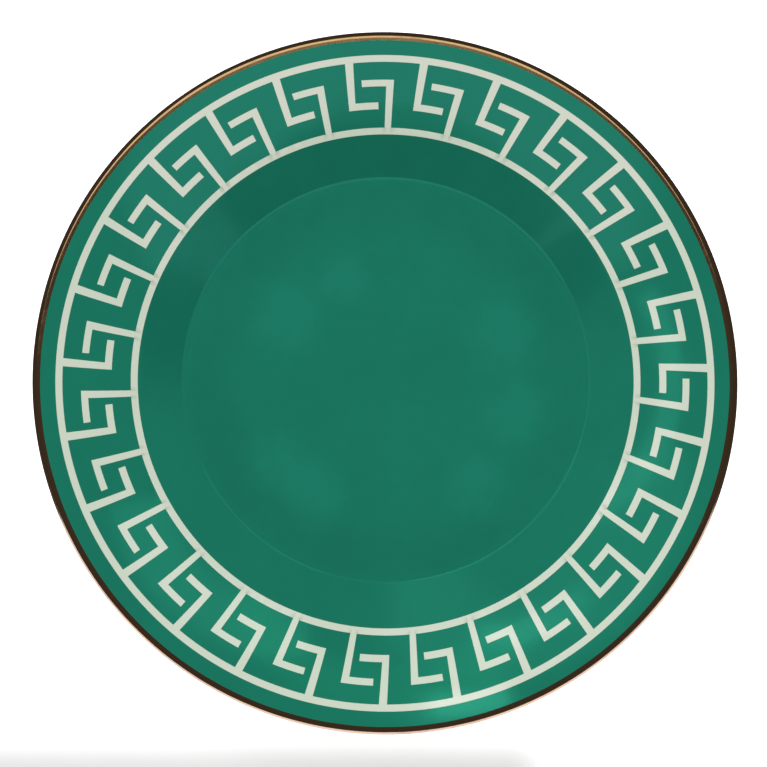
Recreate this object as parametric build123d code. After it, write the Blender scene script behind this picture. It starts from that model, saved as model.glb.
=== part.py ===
"""China dinner plate: a porcelain body and the glaze, enamels and gilding fired onto it.

Millimetres. The foot stands on z = 0, the plate's axis is Z, and +Y is the top of the pattern.
Clock angles are in degrees, clockwise from +Y seen from above.
"""

from build123d import *
import math
import os

os.makedirs("parts", exist_ok=True)

# Fired layers
GLAZE = 0.25
ENAMEL = 0.20

# Body: the surfaces of the bare clay
LIP_RADIUS = 132.5 - GLAZE - ENAMEL
LIP_ROUND = 1.1
LIP_FACETS = 12
RIM_SLOPE_INSIDE = 17.8
RIM_SLOPE_OUTSIDE = 12.8
RIM_FACETS = 5
BACK_SLOPE = 16.0
VERGE_RADIUS = 93.3
VERGE_HEIGHT = 13.1
WELL_RADIUS = 76.1
WELL_HEIGHT = 6.75
BACK_BEND_RADIUS = 96.2
BACK_BEND_HEIGHT = 10.4

# Bends in the section
WELL_BEND = 6
VERGE_BEND = 30
BACK_BEND = 30

# Foot ring
FOOT_OUTER = 79.4
FOOT_INNER = 76.4
FOOT_TOP_OUTER = 81.0
FOOT_TOP_INNER = 74.6
FOOT_SHOULDER = 4.1
FOOT_DEPTH = 3.0
FOOT_OUTER_BEND = 2.5
FOOT_EDGE = 0.8
FOOT_INNER_BEND = 1.5
BARE_FOOT = 0.9

# Key pattern on the rim: lines as (inside radius, outside radius), hooks by clock angle
UNITS = 27
PITCH = 360 / UNITS
INNER_LINE = (93.3, 95.9)
OUTER_LINE = (121.2, 123.85)
FOOT_OF_OUTER_HOOK = (103.0, 105.7)
ARM_OF_INNER_HOOK = (111.8, 114.4)
OUTER_HOOK_AT_FOOT = (5.80, 7.21)
OUTER_HOOK_AT_LINE = (6.28, 7.76)
OUTER_HOOK_TIP = 11.95
INNER_HOOK_AT_LINE = (-0.21, 1.22)
INNER_HOOK_AT_ARM = (0.31, 1.73)
INNER_HOOK_TIP = -4.43

# Gilding
GOLD_START = 129.5
GOLD_END_BELOW = 130.4


def rim_height(radius):
    """Height of the bare clay on the rim, which flattens a little towards the lip."""
    inside = math.tan(math.radians(RIM_SLOPE_INSIDE))
    outside = math.tan(math.radians(RIM_SLOPE_OUTSIDE))
    across = radius - VERGE_RADIUS
    flattening = (inside - outside) / (LIP_RADIUS - VERGE_RADIUS)
    return VERGE_HEIGHT + inside * across - flattening * across**2 / 2


LIP_CENTRE = (
    LIP_RADIUS - LIP_ROUND,
    rim_height(LIP_RADIUS - LIP_ROUND) - LIP_ROUND / math.cos(math.radians(RIM_SLOPE_OUTSIDE)),
)


def lip_points():
    """Points round the half-round lip, from the face over the edge to the back."""
    first = 90 + RIM_SLOPE_OUTSIDE
    last = BACK_SLOPE - 90
    turns = [math.radians(first + (last - first) * i / LIP_FACETS) for i in range(LIP_FACETS + 1)]
    x, z = LIP_CENTRE
    return [(x + LIP_ROUND * math.cos(t), z + LIP_ROUND * math.sin(t)) for t in turns]


def rim_points():
    """Points up the rim's face, from the verge of the well to just short of the lip."""
    step = (LIP_CENTRE[0] - VERGE_RADIUS) / RIM_FACETS
    radii = [VERGE_RADIUS + step * i for i in range(RIM_FACETS)]
    return [(radius, rim_height(radius)) for radius in radii]


def body_profile():
    """Half section of the bare body, drawn past the axis so that offsets stay clean there."""
    lip = lip_points()
    above = [(-5, WELL_HEIGHT), (WELL_RADIUS, WELL_HEIGHT)] + rim_points() + [lip[0]]
    above_bends = [WELL_BEND, VERGE_BEND] + [0] * (RIM_FACETS - 1)
    below = [
        lip[-1],
        (BACK_BEND_RADIUS, BACK_BEND_HEIGHT),
        (FOOT_TOP_OUTER, FOOT_SHOULDER),
        (FOOT_OUTER, 0),
        (FOOT_INNER, 0),
        (FOOT_TOP_INNER, FOOT_DEPTH),
        (-5, FOOT_DEPTH),
    ]
    below_bends = [BACK_BEND, FOOT_OUTER_BEND, FOOT_EDGE, FOOT_EDGE, FOOT_INNER_BEND]
    edges = [
        FilletPolyline(*above, radius=above_bends),
        Polyline(*lip),
        FilletPolyline(*below, radius=below_bends),
        Line((-5, FOOT_DEPTH), (-5, WELL_HEIGHT)),
    ]
    return make_face(edges)


def grown(profile, thickness):
    """The half section with an even coat added all round."""
    return offset(profile, amount=thickness, kind=Kind.INTERSECTION)


def area(*points):
    """A plain flat region to cut with."""
    return make_face(Polyline(*points, close=True))


RIGHT_OF_AXIS = area((0, -10), (200, -10), (200, 60), (0, 60))
BODY = body_profile()
GLAZED = grown(BODY, GLAZE)
DECORATED = grown(BODY, GLAZE + ENAMEL)


def spin(section):
    """Turn a half section round the plate's axis."""
    return revolve(Plane.XZ * section, axis=Axis.Z)


def porcelain_body():
    return spin(BODY & RIGHT_OF_AXIS)


def glaze_sections():
    """The two runs of glaze: over the outside first, then the one inside the foot ring."""
    above_bare_foot = area((0, BARE_FOOT), (200, BARE_FOOT), (200, 60), (0, 60))
    runs = (GLAZED - BODY) & above_bare_foot
    return sorted(runs.faces(), key=lambda run: -run.bounding_box().size.X)


def glaze_coat():
    return spin(glaze_sections()[0])


def foot_well_glaze():
    return spin(glaze_sections()[1])


def face_band(start, end):
    """A ring of enamel on the face, between two radii."""
    under = [(start, 5)]
    if start < WELL_RADIUS:
        under.append((WELL_RADIUS, 5))
    if start >= VERGE_RADIUS:
        under = [(start, rim_height(start) - 1.5)]
    over = [(end, rim_height(end) - 1.5), (end, 60), (start, 60)]
    return (DECORATED - GLAZED) & area(*under, *over)


def green_well_enamel():
    return spin(face_band(0, INNER_LINE[0]))


def green_border_enamel():
    return spin(face_band(OUTER_LINE[1], GOLD_START))


def gold_rim():
    """Gold from the border, over the lip and a little way onto the back."""
    middle = LIP_CENTRE[1]
    region = area(
        (GOLD_START, 60),
        (GOLD_START, middle),
        (GOLD_END_BELOW, middle),
        (GOLD_END_BELOW, 0),
        (200, 0),
        (200, 60),
    )
    return spin((DECORATED - GLAZED) & region)


def at(radius, clock):
    """A point on the plan, by radius and clock angle."""
    turn = math.radians(clock)
    return (radius * math.sin(turn), radius * math.cos(turn))


def bent_strip(radii, start, end):
    """A strip that follows a circle, from one clock angle to another."""
    inner, outer = radii
    middle = (start + end) / 2
    edges = [
        ThreePointArc(at(inner, start), at(inner, middle), at(inner, end)),
        Line(at(inner, end), at(outer, end)),
        ThreePointArc(at(outer, end), at(outer, middle), at(outer, start)),
        Line(at(outer, start), at(inner, start)),
    ]
    return make_face(edges)


def leaning_bar(low, low_sides, high, high_sides):
    """A bar across the rim between two radii, each with the clock angles of its two sides."""
    return area(
        at(low, low_sides[0]),
        at(high, high_sides[0]),
        at(high, high_sides[1]),
        at(low, low_sides[1]),
    )


def outer_hook():
    """Hangs from the outer line and turns clockwise."""
    inside_line = OUTER_LINE[0] + 1
    bar = leaning_bar(
        FOOT_OF_OUTER_HOOK[0], OUTER_HOOK_AT_FOOT, inside_line, OUTER_HOOK_AT_LINE
    )
    return bar + bent_strip(FOOT_OF_OUTER_HOOK, OUTER_HOOK_AT_FOOT[0], OUTER_HOOK_TIP)


def inner_hook():
    """Stands on the inner line and turns anticlockwise."""
    inside_line = INNER_LINE[1] - 1
    bar = leaning_bar(
        inside_line, INNER_HOOK_AT_LINE, ARM_OF_INNER_HOOK[1], INNER_HOOK_AT_ARM
    )
    return bar + bent_strip(ARM_OF_INNER_HOOK, INNER_HOOK_TIP, INNER_HOOK_AT_ARM[1])


def all_round(hook):
    """One hook repeated round the rim."""
    return [Rot(0, 0, -PITCH * i) * hook for i in range(UNITS)]


def ring(radii):
    return Circle(radii[1]) - Circle(radii[0])


def upright(plan):
    """Stand a plan pattern up through the rim."""
    return extrude(plan, amount=40)


def ivory_outer_key():
    pattern = upright(ring(OUTER_LINE) + all_round(outer_hook()))
    return spin(face_band(INNER_LINE[1], OUTER_LINE[1])) & pattern


def ivory_inner_key():
    pattern = upright(ring(INNER_LINE) + all_round(inner_hook()))
    return spin(face_band(INNER_LINE[0], OUTER_LINE[0])) & pattern


def green_key_enamel():
    """What is left of the rim's green between the two ivory keys."""
    hooks = Sketch() + all_round(outer_hook()) + all_round(inner_hook())
    return spin(face_band(INNER_LINE[1], OUTER_LINE[0])) - upright(hooks)


PARTS = {
    "porcelain_body": porcelain_body,
    "glaze_coat": glaze_coat,
    "foot_well_glaze": foot_well_glaze,
    "green_well_enamel": green_well_enamel,
    "green_key_enamel": green_key_enamel,
    "green_border_enamel": green_border_enamel,
    "ivory_inner_key": ivory_inner_key,
    "ivory_outer_key": ivory_outer_key,
    "gold_rim": gold_rim,
}

for name, make in PARTS.items():
    export_step(make(), f"parts/{name}.step")
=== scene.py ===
"""A china dinner plate: porcelain, glaze, green and ivory enamels and a burnished gold lip.

Metres, in the plate's own frame: the foot stands on z = 0, the axis is Z, and +Y is the top of the pattern.
Clock angles are in degrees, clockwise from +Y seen from above.
"""

import math

import bmesh
import bpy
from mathutils import Matrix, Vector, noise


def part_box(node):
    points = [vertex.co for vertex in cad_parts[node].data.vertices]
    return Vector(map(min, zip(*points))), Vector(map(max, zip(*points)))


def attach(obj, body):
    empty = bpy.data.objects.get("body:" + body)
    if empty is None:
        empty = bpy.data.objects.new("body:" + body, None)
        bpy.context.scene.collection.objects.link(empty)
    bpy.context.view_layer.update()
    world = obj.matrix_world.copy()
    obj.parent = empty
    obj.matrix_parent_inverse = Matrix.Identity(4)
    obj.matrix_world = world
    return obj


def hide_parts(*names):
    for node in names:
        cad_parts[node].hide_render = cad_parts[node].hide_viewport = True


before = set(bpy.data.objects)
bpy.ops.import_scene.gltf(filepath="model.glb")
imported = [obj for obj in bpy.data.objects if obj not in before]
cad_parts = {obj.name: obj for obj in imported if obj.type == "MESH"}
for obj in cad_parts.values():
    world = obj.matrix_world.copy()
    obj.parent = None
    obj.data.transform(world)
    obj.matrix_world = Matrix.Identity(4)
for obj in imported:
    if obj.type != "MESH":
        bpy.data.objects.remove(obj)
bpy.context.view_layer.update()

# ---------------------------------------------------------------- sizes
MM = 0.001
TURN_STEPS = 360


def outer_radius(node):
    """Largest radius of a CAD node, from its box."""
    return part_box(node)[1][0]


def top_of(node):
    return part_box(node)[1][2]


PLATE_RADIUS = outer_radius("gold_rim")
GLAZE = 0.25 * MM
ENAMEL = 0.20 * MM
COAT = GLAZE + ENAMEL

# The finished face, on top of the enamels
WELL_HEIGHT = 7.2 * MM
WELL_RADIUS = 76.1 * MM
WELL_BEND = 5.6 * MM
COVE_RISE = math.tan(math.radians(20.27))
VERGE_RADIUS = 93.3 * MM
VERGE_HEIGHT = WELL_HEIGHT + (VERGE_RADIUS - WELL_RADIUS) * COVE_RISE
VERGE_BEND = 30 * MM
RIM_RISE_INSIDE = math.tan(math.radians(17.8))
RIM_RISE_OUTSIDE = math.tan(math.radians(12.8))
LIP_ROUND = 1.55 * MM
LIP_CENTRE = PLATE_RADIUS - LIP_ROUND

# The bare clay at the back and the foot
BACK_SLOPE = math.radians(16)
BACK_BEND_AT = (96.2 * MM, 10.4 * MM)
FOOT_SHOULDER_AT = (81.0 * MM, 4.1 * MM)
FOOT_OUTER = 79.4 * MM
FOOT_INNER = 76.4 * MM
FOOT_WELL_AT = (74.6 * MM, 3.0 * MM)
BARE_FOOT = 0.9 * MM

# Key pattern: lines as (inside radius, outside radius), hooks by clock angle
INNER_LINE = (VERGE_RADIUS, 95.9 * MM)
OUTER_LINE = (121.2 * MM, outer_radius("ivory_outer_key"))
HOOK_FOOT = (103.0 * MM, 105.7 * MM)
HOOK_ARM = (111.8 * MM, outer_radius("ivory_inner_key"))
UNITS = 27
PITCH = 360 / UNITS
UNIT_START = -1.0
UNIT_SLICES = 20
OUTER_BAR = ((5.80, 6.28), (7.21, 7.76))
OUTER_TIP = 11.95
INNER_BAR = ((-0.21, 0.31), (1.22, 1.73))
INNER_TIP = -4.43 + PITCH
HIDDEN_OVERLAP = 1 * MM
RAISED = 0.05 * MM
SOFT_EDGE = 0.09 * MM

# The waves die out below this height, so that the foot stands flat
RIPPLED_ABOVE = 5 * MM

GOLD_START = 129.5 * MM
GOLD_END_BELOW = 130.4 * MM


# ---------------------------------------------------------------- camera
def make_camera():
    """Almost straight above, leaning a little past the top and the right of the plate."""
    lens = bpy.data.cameras.new("camera")
    eye = bpy.data.objects.new("camera", lens)
    bpy.context.collection.objects.link(eye)
    distance = 6.0
    width_seen = 0.2879
    target = Vector((-0.00037, 0.00033, top_of("gold_rim")))
    lean = Vector((0.0385, 0.095, 1)).normalized()
    eye.location = target + lean * distance
    back = lean
    right = Vector((0, 1, 0)).cross(back).normalized()
    up = back.cross(right)
    eye.rotation_euler = Matrix((right, up, back)).transposed().to_euler()
    lens.sensor_width = 36
    lens.lens = lens.sensor_width * distance / width_seen
    lens.clip_start = 0.1
    lens.clip_end = 50
    bpy.context.scene.camera = eye


make_camera()


# ---------------------------------------------------------------- the face
def well_floor(radius):
    """The floor of the well, a hair higher in its middle."""
    start, width, crown = 34 * MM, 30 * MM, 0.15 * MM
    t = min(max((radius - start) / width, 0.0), 1.0)
    return WELL_HEIGHT + crown * (1 - t + math.sin(2 * math.pi * t) / (2 * math.pi))


def face_height(radius):
    """Height of the finished face at a radius, from the middle of the well out to the lip."""
    reach = WELL_BEND * math.tan(math.atan(COVE_RISE) / 2)
    if radius < WELL_RADIUS - reach:
        return well_floor(radius)
    if radius < WELL_RADIUS + reach:
        past = radius - (WELL_RADIUS - reach)
        return WELL_HEIGHT + WELL_BEND - math.sqrt(WELL_BEND**2 - past**2)
    spread = VERGE_BEND * (COVE_RISE - RIM_RISE_INSIDE) / 2
    if radius < VERGE_RADIUS - spread:
        return WELL_HEIGHT + (radius - WELL_RADIUS) * COVE_RISE
    across = radius - VERGE_RADIUS
    flattening = (RIM_RISE_INSIDE - RIM_RISE_OUTSIDE) / (PLATE_RADIUS - VERGE_RADIUS)
    rim = VERGE_HEIGHT + across * RIM_RISE_INSIDE - flattening * across**2 / 2
    before_rim = max(0.0, spread - across)
    return rim - before_rim**2 / (2 * VERGE_BEND)


def ripple(x, y):
    """The slow waves, a few hundredths of a millimetre high, that a plate keeps from the kiln."""
    broad = noise.noise(Vector((x * 28, y * 28, 0.3)))
    close = noise.noise(Vector((x * 95, y * 95, 4.1)))
    return (0.022 * broad + 0.004 * close) * MM


def spaced(start, end, gap):
    """Radii from start to end, about a gap apart."""
    count = max(1, round((end - start) / gap))
    return [start + (end - start) * i / count for i in range(count + 1)]


# ---------------------------------------------------------------- turning on the wheel
def new_piece(name, bm):
    """Turn a finished bmesh into the piece that stands for the CAD node of its name."""
    mesh = bpy.data.meshes.new(name)
    bm.to_mesh(mesh)
    bm.free()
    piece = bpy.data.objects.new(name, mesh)
    bpy.context.collection.objects.link(piece)
    for face in mesh.polygons:
        face.use_smooth = True
    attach(piece, "root")
    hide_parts(name)
    return piece


def spin_outline(outline):
    """Spin a closed outline of (radius, height) points round the plate's axis."""
    bm = bmesh.new()
    points = [bm.verts.new((r, 0, z)) for r, z in outline]
    for a, b in zip(points, points[1:] + points[:1]):
        bm.edges.new((a, b))
    bmesh.ops.spin(
        bm,
        geom=bm.verts[:] + bm.edges[:],
        cent=(0, 0, 0),
        axis=(0, 0, 1),
        angle=2 * math.pi,
        steps=TURN_STEPS,
        use_merge=True,
    )
    bmesh.ops.remove_doubles(bm, verts=bm.verts, dist=1e-6)
    bmesh.ops.recalc_face_normals(bm, faces=bm.faces)
    return bm


def turned(name, outline):
    """A piece spun from its closed outline, with the kiln's slow waves in it."""
    bm = spin_outline(outline)
    for v in bm.verts:
        v.co.z += ripple(v.co.x, v.co.y) * min(v.co.z / RIPPLED_ABOVE, 1)
    piece = new_piece(name, bm)
    piece.data.set_sharp_from_angle(angle=math.radians(40))
    return piece


def face_ring(name, start, end, gap):
    """A band of green enamel on the face between two radii."""
    radii = spaced(start, end, gap)
    if start < WELL_RADIUS < end:
        inside, outside = WELL_RADIUS - 2 * MM, WELL_RADIUS + 2 * MM
        radii = spaced(start, inside, gap)
        radii += spaced(inside, outside, gap / 5)[1:]
        radii += spaced(outside, end, gap)[1:]
    top = [(r, face_height(r)) for r in radii]
    below = [(r, face_height(r) - ENAMEL) for r in spaced(start, end, 4 * gap)]
    return turned(name, top + below[::-1])


# ---------------------------------------------------------------- materials
GREEN_DEEP = (0.0043, 0.100, 0.0635)
# The lighter green serves both for thin enamel and for the painted reflections in the well.
GREEN_THIN_AND_PAINTED_SHEEN = (0.0066, 0.136, 0.0865)
IVORY_COOL = (0.515, 0.595, 0.485)
IVORY_WARM = (0.560, 0.612, 0.500)
GLAZE_WHITE = (0.72, 0.73, 0.69)
GLAZE_POOLED = (0.60, 0.655, 0.61)
CLAY = (0.66, 0.63, 0.57)
CLAY_RUBBED = (0.42, 0.40, 0.37)
GOLD = (0.80, 0.51, 0.23)
GOLD_WORN = (0.50, 0.27, 0.12)
SPECK = (0.10, 0.075, 0.05)


def add(tree, kind, inputs=None, **options):
    """A new shader node: options are its settings, inputs are constants or sockets to join."""
    node = tree.nodes.new("ShaderNode" + kind)
    for name, value in options.items():
        setattr(node, name, value)
    for name, value in (inputs or {}).items():
        if isinstance(value, bpy.types.NodeSocket):
            tree.links.new(value, node.inputs[name])
        else:
            node.inputs[name].default_value = value
    return node


def sum_of(tree, a, b):
    return add(tree, "Math", {0: a, 1: b}, operation="ADD").outputs[0]


def product(tree, a, b):
    return add(tree, "Math", {0: a, 1: b}, operation="MULTIPLY").outputs[0]


def ramp(tree, value, low, high, bottom=0.0, top=1.0):
    """A value eased from bottom to top while it goes from low to high."""
    settings = {"Value": value, "From Min": low, "From Max": high, "To Min": bottom, "To Max": top}
    return add(tree, "MapRange", settings, interpolation_type="SMOOTHSTEP").outputs["Result"]


def waves(tree, place, scale, detail=2.0, roughness=0.5):
    """Noise between 0 and 1, with a scale in waves to the metre."""
    settings = {"Vector": place, "Scale": scale, "Detail": detail, "Roughness": roughness}
    return add(tree, "TexNoise", settings).outputs["Fac"]


def blend(tree, amount, start, end):
    """A colour between two others, each a colour or a socket."""
    settings = {"Factor": amount}
    for name, colour in (("A", start), ("B", end)):
        settings[name] = (*colour, 1) if isinstance(colour, tuple) else colour
    node = tree.nodes.new("ShaderNodeMix")
    node.data_type = "RGBA"
    for socket in node.inputs:
        value = settings.get(socket.name)
        if value is None or not socket.enabled:
            continue
        if isinstance(value, bpy.types.NodeSocket):
            tree.links.new(value, socket)
        else:
            socket.default_value = value
    return next(socket for socket in node.outputs if socket.enabled)


def object_place(tree):
    return add(tree, "TexCoord").outputs["Object"]


def from_axis(tree, place):
    """Distance from the plate's axis."""
    flat = add(tree, "VectorMath", {0: place, 1: (1, 1, 0)}, operation="MULTIPLY").outputs["Vector"]
    return add(tree, "VectorMath", {0: flat}, operation="LENGTH").outputs["Value"]


def near(tree, place, point, reach):
    """1 at a point on the plan, falling softly to 0 at its reach."""
    flat = add(tree, "VectorMath", {0: place, 1: (1, 1, 0)}, operation="MULTIPLY").outputs["Vector"]
    gap = add(tree, "VectorMath", {0: flat, 1: (*point, 0)}, operation="DISTANCE").outputs["Value"]
    return ramp(tree, gap, 0.0, reach, 1.0, 0.0)


def fired_glass():
    """What every fired glaze and enamel shares: skin, smudges, knife marks, pooling and specks."""
    tree = bpy.data.node_groups.new("fired_glass", "ShaderNodeTree")
    for name in ("Height", "Roughness", "Pooling", "Specks"):
        tree.interface.new_socket(name=name, in_out="OUTPUT", socket_type="NodeSocketFloat")
    place = object_place(tree)
    peel = product(tree, waves(tree, place, 520, 2.0), 0.35)
    roll = waves(tree, place, 75, 1.0)
    cells = add(tree, "TexVoronoi", {"Vector": place, "Scale": 230.0})
    pinholes = ramp(tree, cells.outputs["Distance"], 0.03, 0.09, 0.0, 0.35)
    knife = add(tree, "Mapping", {"Vector": place, "Rotation": (0, 0, 0.7), "Scale": (1600, 28, 1)})
    marks = ramp(tree, waves(tree, knife.outputs["Vector"], 1.0, 1.0), 0.70, 0.76)
    in_well = ramp(tree, from_axis(tree, place), 50 * MM, 78 * MM, 0.05, 0.0)
    smudges = ramp(tree, waves(tree, place, 38, 4.0, 0.6), 0.35, 0.75, 0.075, 0.125)
    iron = add(tree, "TexVoronoi", {"Vector": place, "Scale": 62.0})
    speck_size = ramp(tree, iron.outputs["Distance"], 0.012, 0.022, 1.0, 0.0)
    out = tree.nodes.new("NodeGroupOutput")
    tree.links.new(sum_of(tree, sum_of(tree, peel, roll), pinholes), out.inputs["Height"])
    rubbed = sum_of(tree, smudges, product(tree, marks, in_well))
    tree.links.new(rubbed, out.inputs["Roughness"])
    tree.links.new(waves(tree, place, 24, 2.0), out.inputs["Pooling"])
    tree.links.new(speck_size, out.inputs["Specks"])
    return tree


FIRED_GLASS = fired_glass()


def new_material(name):
    material = bpy.data.materials.new(name)
    material.use_nodes = True
    tree = material.node_tree
    shader = tree.nodes["Principled BSDF"]
    return material, tree, shader


def bumped(tree, shader, height, distance, strength=1.0):
    bump = add(tree, "Bump", {"Height": height, "Distance": distance, "Strength": strength})
    tree.links.new(bump.outputs["Normal"], shader.inputs["Normal"])


def glassy(name):
    """A material with the fired glass surface, ready for its colour."""
    material, tree, shader = new_material(name)
    skin = tree.nodes.new("ShaderNodeGroup")
    skin.node_tree = FIRED_GLASS
    tree.links.new(skin.outputs["Roughness"], shader.inputs["Roughness"])
    bumped(tree, shader, skin.outputs["Height"], 0.012 * MM, 0.6)
    shader.inputs["IOR"].default_value = 1.54
    return material, tree, shader, skin


# Soft spots in the well where the green is painted lighter: painted reflections, given as (centre on the
# plan, reach).
PAINTED_REFLECTION_SPOTS = (
    ((-0.037, 0.025), 0.019),
    ((-0.016, 0.038), 0.014),
    ((0.043, 0.018), 0.020),
    ((0.049, -0.012), 0.018),
    ((0.034, -0.040), 0.017),
    ((-0.026, -0.043), 0.017),
    ((-0.041, -0.031), 0.017),
)


def green_enamel():
    """Green lies thin at random, is painted lighter in soft patches of the well as painted reflections, and
    is darker in a ring just inside the cove.
    """
    material, tree, shader, skin = glassy("green_enamel")
    place = object_place(tree)
    brushed = waves(tree, place, 130, 4.0, 0.6)
    thinness_and_painted_reflection = ramp(tree, skin.outputs["Pooling"], 0.2, 0.8, 0.27, 0.55)
    thinness_and_painted_reflection = sum_of(tree, thinness_and_painted_reflection, ramp(tree, brushed, 0.25, 0.75, 0.0, 0.16))
    # Painted reflections: the green is painted lighter round each spot.
    for point, reach in PAINTED_REFLECTION_SPOTS:
        patchy = product(tree, near(tree, place, point, reach), ramp(tree, brushed, 0.3, 0.7, 0.5, 0.9))
        thinness_and_painted_reflection = sum_of(tree, thinness_and_painted_reflection, patchy)
    radius = from_axis(tree, place)
    # Darker in a ring from 50 mm out to 78 mm, darkest from 66 to 72 mm.
    darkening_from_50mm = ramp(tree, radius, 50 * MM, 66 * MM, 0.0, 0.30)
    back = ramp(tree, radius, 72 * MM, 78 * MM, 0.0, 0.30)
    thinness_and_painted_reflection = sum_of(tree, thinness_and_painted_reflection, add(tree, "Math", {0: back, 1: darkening_from_50mm}, operation="SUBTRACT").outputs[0])
    colour = blend(tree, thinness_and_painted_reflection, GREEN_DEEP, GREEN_THIN_AND_PAINTED_SHEEN)
    colour = blend(tree, product(tree, skin.outputs["Specks"], 0.25), colour, SPECK)
    tree.links.new(colour, shader.inputs["Base Color"])
    shader.inputs["Specular Tint"].default_value = (0.10, 1.0, 0.65, 1)
    return material


def ivory_enamel():
    """Ivory stands a little proud and is uneven in strength."""
    material, tree, shader, skin = glassy("ivory_enamel")
    colour = blend(tree, skin.outputs["Pooling"], IVORY_COOL, IVORY_WARM)
    fine = waves(tree, object_place(tree), 900, 3.0)
    colour = blend(tree, ramp(tree, fine, 0.62, 0.80, 0.0, 0.18), colour, GLAZE_POOLED)
    colour = blend(tree, product(tree, skin.outputs["Specks"], 0.4), colour, SPECK)
    tree.links.new(colour, shader.inputs["Base Color"])
    return material


def burnished_gold():
    """Gold rubbed bright in rings, thinner and browner where hands have worn it."""
    material, tree, shader = new_material("burnished_gold")
    place = object_place(tree)
    worn = ramp(tree, waves(tree, place, 70, 4.0, 0.65), 0.52, 0.80, 0.0, 0.8)
    tree.links.new(blend(tree, worn, GOLD, GOLD_WORN), shader.inputs["Base Color"])
    rings = add(tree, "CombineXYZ", {"X": product(tree, from_axis(tree, place), 9000.0)}).outputs[0]
    rubbing = waves(tree, rings, 1.0, 2.0)
    grain = sum_of(tree, product(tree, rubbing, 0.5), waves(tree, place, 1500, 2.0))
    bumped(tree, shader, grain, 0.004 * MM, 0.5)
    roughness = sum_of(tree, product(tree, worn, 0.22), ramp(tree, rubbing, 0.3, 0.7, 0.10, 0.17))
    tree.links.new(roughness, shader.inputs["Roughness"])
    shader.inputs["Metallic"].default_value = 1.0
    return material


def white_glaze():
    """Clear glaze over white clay, faintly green where it pooled at the foot."""
    material, tree, shader, skin = glassy("white_glaze")
    place = object_place(tree)
    height = add(tree, "SeparateXYZ", {0: place}).outputs["Z"]
    pooled = ramp(tree, height, 0.5 * MM, 6 * MM, 0.7, 0.0)
    pooled = sum_of(tree, pooled, product(tree, skin.outputs["Pooling"], 0.35))
    colour = blend(tree, pooled, GLAZE_WHITE, GLAZE_POOLED)
    colour = blend(tree, product(tree, skin.outputs["Specks"], 0.8), colour, SPECK)
    tree.links.new(colour, shader.inputs["Base Color"])
    return material


def bare_porcelain():
    """Bare clay on the foot, gritty, and rubbed grey where it has stood."""
    material, tree, shader = new_material("bare_porcelain")
    place = object_place(tree)
    height = add(tree, "SeparateXYZ", {0: place}).outputs["Z"]
    patchy = ramp(tree, waves(tree, place, 130, 4.0), 0.35, 0.65, 0.2, 1.0)
    rubbed = product(tree, ramp(tree, height, 0.05 * MM, 0.5 * MM, 0.8, 0.0), patchy)
    grit = waves(tree, place, 2600, 3.0, 0.7)
    colour = blend(tree, rubbed, CLAY, CLAY_RUBBED)
    colour = blend(tree, ramp(tree, grit, 0.66, 0.74, 0.0, 0.5), colour, SPECK)
    tree.links.new(colour, shader.inputs["Base Color"])
    tree.links.new(ramp(tree, grit, 0.2, 0.8, 0.62, 0.86), shader.inputs["Roughness"])
    bumped(tree, shader, grit, 0.05 * MM, 0.8)
    return material


# ---------------------------------------------------------------- the key pattern
UNROLLED_ABOUT = 0.1


def unrolled(clock, radius):
    """The rim laid out flat: across is the clock angle, up is the radius."""
    return Vector((math.radians(clock) * UNROLLED_ABOUT, radius, 0))


def cut(bm, a, b):
    """Cut the flat strip along the line through two points."""
    line = b - a
    bmesh.ops.bisect_plane(
        bm,
        geom=bm.verts[:] + bm.edges[:] + bm.faces[:],
        plane_co=a,
        plane_no=Vector((line.y, -line.x, 0)).normalized(),
        dist=1e-8,
    )


def bar_side(kind, side, radius):
    """Clock angle of a leaning bar's side at a radius."""
    if kind == "outer":
        low, high = HOOK_FOOT[0], OUTER_LINE[0] + HIDDEN_OVERLAP
        first, last = OUTER_BAR[side]
    else:
        low, high = INNER_LINE[1] - HIDDEN_OVERLAP, HOOK_ARM[1]
        first, last = INNER_BAR[side]
    return first + (last - first) * (radius - low) / (high - low)


def colour_at(clock, radius):
    """Which enamel covers a point of the unrolled unit."""
    if radius < INNER_LINE[1]:
        return "inner"
    if radius > OUTER_LINE[0]:
        return "outer"
    start, end = bar_side("outer", 0, radius), bar_side("outer", 1, radius)
    in_outer_bar = start < clock < end
    in_foot = HOOK_FOOT[0] < radius < HOOK_FOOT[1] and start < clock < OUTER_TIP
    if in_foot or (in_outer_bar and radius > HOOK_FOOT[0]):
        return "outer"
    start, end = bar_side("inner", 0, radius), bar_side("inner", 1, radius)
    in_inner_bar = start < clock < end
    past_bar = clock < end or clock > INNER_TIP
    in_arm = HOOK_ARM[0] < radius < HOOK_ARM[1] and past_bar
    if in_arm or (in_inner_bar and radius < HOOK_ARM[1]):
        return "inner"
    return "green"


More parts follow.
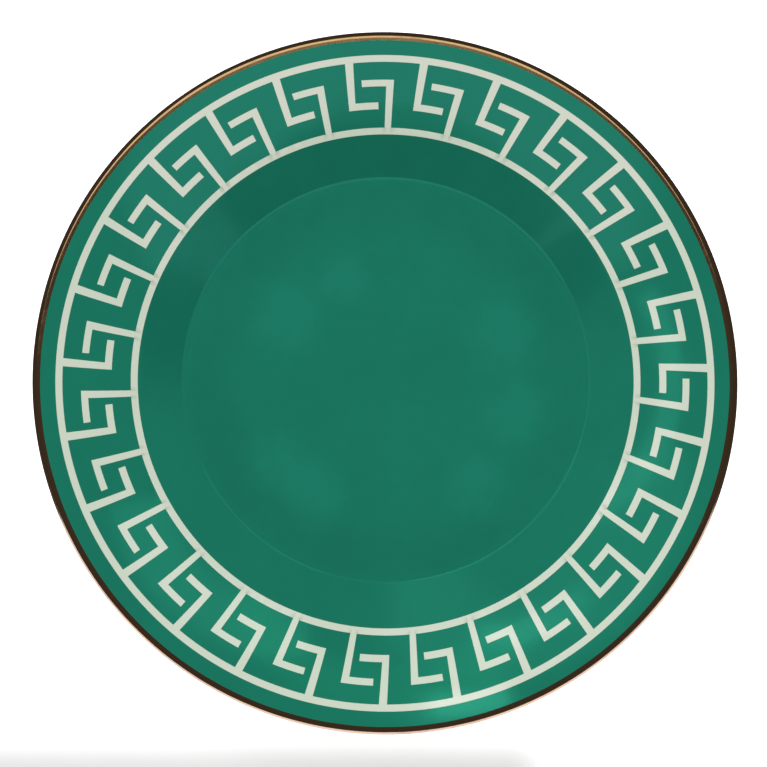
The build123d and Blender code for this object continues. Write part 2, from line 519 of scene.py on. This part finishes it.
def key_unit(colour):
    """One unit of the pattern in one colour, cut from a flat strip."""
    bm = bmesh.new()
    low, high = INNER_LINE[0], OUTER_LINE[1]
    unit_end = UNIT_START + PITCH
    corners = [(UNIT_START, low), (unit_end, low), (unit_end, high), (UNIT_START, high)]
    bm.faces.new([bm.verts.new(unrolled(clock, radius)) for clock, radius in corners])
    for radius in (INNER_LINE[1], OUTER_LINE[0], *HOOK_FOOT, *HOOK_ARM):
        cut(bm, unrolled(0, radius), unrolled(10, radius))
    for kind in ("outer", "inner"):
        for side in (0, 1):
            foot, head = bar_side(kind, side, low), bar_side(kind, side, high)
            cut(bm, unrolled(foot, low), unrolled(head, high))
    for tip in (OUTER_TIP, INNER_TIP):
        cut(bm, unrolled(tip, low), unrolled(tip, high))
    for i in range(1, UNIT_SLICES):
        clock = UNIT_START + PITCH * i / UNIT_SLICES
        cut(bm, unrolled(clock, low), unrolled(clock, high))
    for radius in spaced(low, high, 2.5 * MM)[1:-1]:
        cut(bm, unrolled(0, radius), unrolled(10, radius))
    others = []
    for f in bm.faces:
        middle = f.calc_center_median()
        if colour_at(math.degrees(middle.x / UNROLLED_ABOUT), middle.y) != colour:
            others.append(f)
    bmesh.ops.delete(bm, geom=others, context="FACES")
    return bm


def key_piece(name, colour, lift):
    """Bend a unit onto the sloping rim and repeat it all the way round."""
    bm = key_unit(colour)
    for v in bm.verts:
        turn, radius = v.co.x / UNROLLED_ABOUT, v.co.y
        v.co = (radius * math.sin(turn), radius * math.cos(turn), face_height(radius) + lift)
    bmesh.ops.spin(
        bm,
        geom=bm.verts[:] + bm.edges[:] + bm.faces[:],
        cent=(0, 0, 0),
        axis=(0, 0, 1),
        angle=2 * math.pi * (UNITS - 1) / UNITS,
        steps=UNITS - 1,
        use_duplicate=True,
    )
    bmesh.ops.remove_doubles(bm, verts=bm.verts, dist=2e-6)
    for v in bm.verts:
        v.co.z += ripple(v.co.x, v.co.y)
    under = bmesh.ops.extrude_face_region(bm, geom=bm.faces[:])
    lowered = [part for part in under["geom"] if isinstance(part, bmesh.types.BMVert)]
    bmesh.ops.translate(bm, verts=lowered, vec=(0, 0, -ENAMEL - lift))
    bmesh.ops.recalc_face_normals(bm, faces=bm.faces)
    piece = new_piece(name, bm)
    piece.data.set_sharp_from_angle(angle=math.radians(40))
    if lift:
        edge = piece.modifiers.new("soft edge", "BEVEL")
        edge.width = SOFT_EDGE
        edge.segments = 3
        edge.limit_method = "ANGLE"
        edge.angle_limit = math.radians(50)
        edge.harden_normals = True
    return piece


# ---------------------------------------------------------------- the other layers
def lip_line(radius, count):
    """The lip's round edge, from the face over to the back."""
    slope = math.atan(RIM_RISE_OUTSIDE)
    height = face_height(LIP_CENTRE) - LIP_ROUND / math.cos(slope)
    first, last = math.pi / 2 + slope, BACK_SLOPE - math.pi / 2
    turns = [first + (last - first) * i / count for i in range(count + 1)]
    return [(LIP_CENTRE + radius * math.cos(t), height + radius * math.sin(t)) for t in turns]


def gold_rim():
    """Gold from the border, over the lip and a little way onto the back."""
    slope = math.tan(BACK_SLOPE)
    over = lip_line(LIP_ROUND, 36)
    under = lip_line(LIP_ROUND - ENAMEL, 24)
    face = spaced(GOLD_START, over[0][0], 0.3 * MM)[:-1]
    back_end = (GOLD_END_BELOW, over[-1][1] - (over[-1][0] - GOLD_END_BELOW) * slope)
    hidden_end = (GOLD_END_BELOW, under[-1][1] - (under[-1][0] - GOLD_END_BELOW) * slope)
    outside = [(r, face_height(r)) for r in face] + over + [back_end]
    inside = [hidden_end] + under[::-1] + [(GOLD_START, face_height(GOLD_START) - ENAMEL)]
    return turned("gold_rim", outside + inside)


def rounded(corners, bends):
    """A line through corners, each inside corner turned into an arc of its own radius."""
    line = [Vector(corners[0])]
    for before, corner, after, bend in zip(corners, corners[1:], corners[2:], bends):
        corner = Vector(corner)
        back = (Vector(before) - corner).normalized()
        ahead = (Vector(after) - corner).normalized()
        half = back.angle(ahead) / 2
        centre = corner + (back + ahead).normalized() * bend / math.sin(half)
        start = corner + back * bend / math.tan(half) - centre
        end = corner + ahead * bend / math.tan(half) - centre
        for i in range(9):
            line.append(centre + start.normalized().slerp(end.normalized(), i / 8) * bend)
    line.append(Vector(corners[-1]))
    return [tuple(point) for point in line]


def shifted(line, amount):
    """A line moved sideways, outwards from the clay when the amount is positive."""
    moved = []
    for i, (r, z) in enumerate(line):
        before = Vector(line[max(i - 1, 0)])
        after = Vector(line[min(i + 1, len(line) - 1)])
        along = (after - before).normalized()
        new_r = 0.0 if r == 0 else r - along.y * amount
        moved.append((new_r, z + along.x * amount))
    return moved


def bare_face():
    """The bare clay's face, from the axis to the lip."""
    end = lip_line(LIP_ROUND, 2)[0][0]
    return shifted([(r, face_height(r)) for r in spaced(0, end, 3 * MM)], -COAT)


def bare_back():
    """The bare clay from the lip over the back to the foot's outer edge."""
    start = lip_line(LIP_ROUND - COAT, 2)[-1]
    corners = [start, BACK_BEND_AT, FOOT_SHOULDER_AT, (FOOT_OUTER, 0), (FOOT_INNER, 0)]
    corners += [FOOT_WELL_AT, (0, FOOT_WELL_AT[1])]
    return rounded(corners, [30 * MM, 2.5 * MM, 0.8 * MM, 0.8 * MM, 1.5 * MM])


def whole_line():
    """The whole bare section: face, lip, back, foot and foot well."""
    return bare_face() + lip_line(LIP_ROUND - COAT, 20) + bare_back()[1:]


def closely_spaced(line, gap):
    """The same line with extra points wherever two are further apart than the gap."""
    filled = [line[0]]
    for start, end in zip(line, line[1:]):
        count = max(1, round((Vector(end) - Vector(start)).length / gap))
        filled += [tuple(Vector(start).lerp(Vector(end), i / count)) for i in range(1, count + 1)]
    return filled


def bare_foot_ends(line):
    """Where the glaze stops on the outside of the foot, and where it starts again inside."""
    low = [i for i, (r, z) in enumerate(line) if z < BARE_FOOT]
    return low[0] - 1, low[-1] + 1


def porcelain_body():
    """The clay itself, face to foot."""
    return turned("porcelain_body", closely_spaced(whole_line(), 1.5 * MM))


def coated(name, line):
    """Glaze over a run of the clay's surface."""
    return turned(name, shifted(line, GLAZE) + line[::-1])


def glaze_coat():
    """The glaze over everything outside the bare foot."""
    line = closely_spaced(whole_line(), 1.8 * MM)
    return coated("glaze_coat", line[: bare_foot_ends(line)[0] + 1])


def foot_well_glaze():
    """The glaze inside the foot ring."""
    line = closely_spaced(whole_line(), 1.5 * MM)
    return coated("foot_well_glaze", line[bare_foot_ends(line)[1] :])


# ---------------------------------------------------------------- studio
def aim(lamp, place, target):
    """Put a lamp at a place, turned to a target."""
    lamp.location = place
    lamp.rotation_euler = (Vector(place) - Vector(target)).to_track_quat("Z", "Y").to_euler()


def lit_only(lamp, pieces):
    """Let a lamp light only some of the pieces."""
    group = bpy.data.collections.new(lamp.name + "_lit")
    for piece in pieces:
        group.objects.link(piece)
    lamp.light_linking.receiver_collection = group


def area_lamp(name, place, target, width, depth, brightness, colour=(1, 1, 1)):
    """A soft panel whose face has the same brightness whatever its size."""
    data = bpy.data.lights.new(name, "AREA")
    data.shape = "RECTANGLE"
    data.size = width
    data.size_y = depth
    data.energy = 4 * width * depth * brightness
    data.color = colour
    lamp = bpy.data.objects.new(name, data)
    bpy.context.collection.objects.link(lamp)
    aim(lamp, place, target)
    lamp.visible_camera = False
    return lamp


def gleam(name, place, target, width, depth, brightness, colour=(1, 1, 1)):
    """A panel that is only seen as a reflection."""
    lamp = area_lamp(name, place, target, width, depth, brightness, colour)
    lamp.visible_diffuse = False
    lamp.data.use_shadow = False
    return lamp


def round_gleam(name, place, width, brightness):
    """A round gleam facing straight down."""
    lamp = gleam(name, place, (place[0], place[1], 0), width, width, brightness)
    lamp.data.shape = "DISK"
    lamp.data.energy *= math.pi / 4
    return lamp


def sky_patch(name, clock, tilt, across, along, brightness, colour=(1, 1, 1)):
    """A gleam out along a clock angle, tilted from overhead; its size is in degrees."""
    turn, lean, far = math.radians(clock), math.radians(tilt), 2.5
    place = Vector((math.sin(turn) * math.sin(lean), math.cos(turn) * math.sin(lean), math.cos(lean))) * far
    width = 2 * far * math.tan(math.radians(across) / 2)
    depth = 2 * far * math.tan(math.radians(along) / 2)
    lamp = gleam(name, place, (0, 0, 0), width, depth, brightness, colour)
    back = place.normalized()
    side = Vector((math.cos(turn), -math.sin(turn), 0))
    lamp.rotation_euler = Matrix((side, back.cross(side), back)).transposed().to_euler()
    return lamp


FLOOR_HALF = 6.0
PAPER = (0.9, 0.9, 0.9)
PAPER_PAINTED_SHADE = (0.1, 0.1, 0.1)


def make_floor():
    """White paper with a painted shade along its near edge."""
    bm = bmesh.new()
    bmesh.ops.create_grid(bm, x_segments=1, y_segments=1, size=FLOOR_HALF)
    mesh = bpy.data.meshes.new("floor")
    bm.to_mesh(mesh)
    bm.free()
    floor = bpy.data.objects.new("floor", mesh)
    bpy.context.collection.objects.link(floor)
    floor.visible_glossy = False
    material, tree, shader = new_material("floor_paper")
    place = add(tree, "SeparateXYZ", {0: object_place(tree)})
    # Painted shade: the paper's colour darkens along its near edge, left of the middle.
    painted_edge_shade = product(
        tree,
        ramp(tree, place.outputs["Y"], -0.150, -0.121, 0.63, 0.0),
        ramp(tree, place.outputs["X"], 0.045, 0.085, 1.0, 0.0),
    )
    paper_with_painted_shade = blend(tree, painted_edge_shade, PAPER, PAPER_PAINTED_SHADE)
    tree.links.new(paper_with_painted_shade, shader.inputs["Base Color"])
    shader.inputs["Roughness"].default_value = 0.9
    shader.inputs["Specular IOR Level"].default_value = 0
    mesh.materials.append(material)
    return floor


def make_room():
    """White all round for soft light, dark for reflections so that the panels draw them."""
    world = bpy.data.worlds.new("studio")
    bpy.context.scene.world = world
    world.use_nodes = True
    tree = world.node_tree
    tree.nodes.clear()
    path = add(tree, "LightPath")
    room = add(tree, "Background", {"Color": (1, 1, 1, 1), "Strength": 0.94})
    dark = add(tree, "Background", {"Color": (0.9, 0.85, 1, 1), "Strength": 0.05})
    mix = add(tree, "MixShader", {0: path.outputs["Is Glossy Ray"], 1: room.outputs[0], 2: dark.outputs[0]})
    out = add(tree, "OutputWorld", {"Surface": mix.outputs[0]})
    out.is_active_output = True


def studio(glassy_pieces, gold):
    """A white floor, soft light all round, and panels overhead for the glaze and the gold."""
    floor = make_floor()
    make_room()
    wash = bpy.data.objects.new("floor_wash", bpy.data.lights.new("floor_wash", "SUN"))
    bpy.context.collection.objects.link(wash)
    wash.data.energy = 3.0
    wash.data.use_shadow = False
    wash.visible_glossy = False
    lit_only(wash, [floor])

    window = area_lamp("window", (-0.9, 2.3, 2.0), (0, 0, 0), 1.2, 1.2, 3.6)
    window.visible_glossy = False

    panels = [
        round_gleam("overhead", (-0.25, 0.22, 2.0), 3.5, 0.58),
        round_gleam("wide_overhead", (-0.15, 0.15, 2.1), 4.7, 0.32),
        sky_patch("front_panel", 180, 28, 60, 14, 0.45, (2.0, 1, 1.4)),
        sky_patch("back_strip", 0, 21, 30, 5, 0.5, (0.4, 1, 0.6)),
        sky_patch("right_back_strip", 45, 23, 24, 6, 0.8),
        sky_patch("left_strip", 270, 31, 30, 2.5, 1.2),
        sky_patch("left_back_panel", 315, 27, 40, 13, 0.5),
        sky_patch("left_back_strip", 318, 25.5, 12, 2.5, 1.6),
        sky_patch("small_window", 335, 19.0, 6, 2.6, 3.2),
    ]
    for panel in panels:
        lit_only(panel, glassy_pieces)
    for panel in (
        gleam("gold_panel", (-0.03, 0.10, 0.224), (-0.03, 0.10, 0), 0.23, 0.165, 0.68),
        gleam("gold_edge_panel", (0, -0.5, -0.2), (0, 0, -0.2), 2.0, 1.1, 1.0, (0.8, 0.9, 1.5)),
    ):
        lit_only(panel, [gold])
    bpy.context.scene.view_settings.view_transform = "Standard"


# ---------------------------------------------------------------- building
def finish_with(material, pieces):
    """Give pieces their material."""
    for piece in pieces:
        piece.data.materials.clear()
        piece.data.materials.append(material)
    return pieces


well = face_ring("green_well_enamel", 0, INNER_LINE[0], 1 * MM)
border = face_ring("green_border_enamel", OUTER_LINE[1], GOLD_START, 0.8 * MM)
field = key_piece("green_key_enamel", "green", 0)
inner_key = key_piece("ivory_inner_key", "inner", RAISED)
outer_key = key_piece("ivory_outer_key", "outer", RAISED)
enamelled = finish_with(green_enamel(), [well, border, field])
enamelled += finish_with(ivory_enamel(), [inner_key, outer_key])
enamelled += finish_with(white_glaze(), [glaze_coat(), foot_well_glaze()])
enamelled += finish_with(bare_porcelain(), [porcelain_body()])
gold = gold_rim()
finish_with(burnished_gold(), [gold])
studio(enamelled, gold)
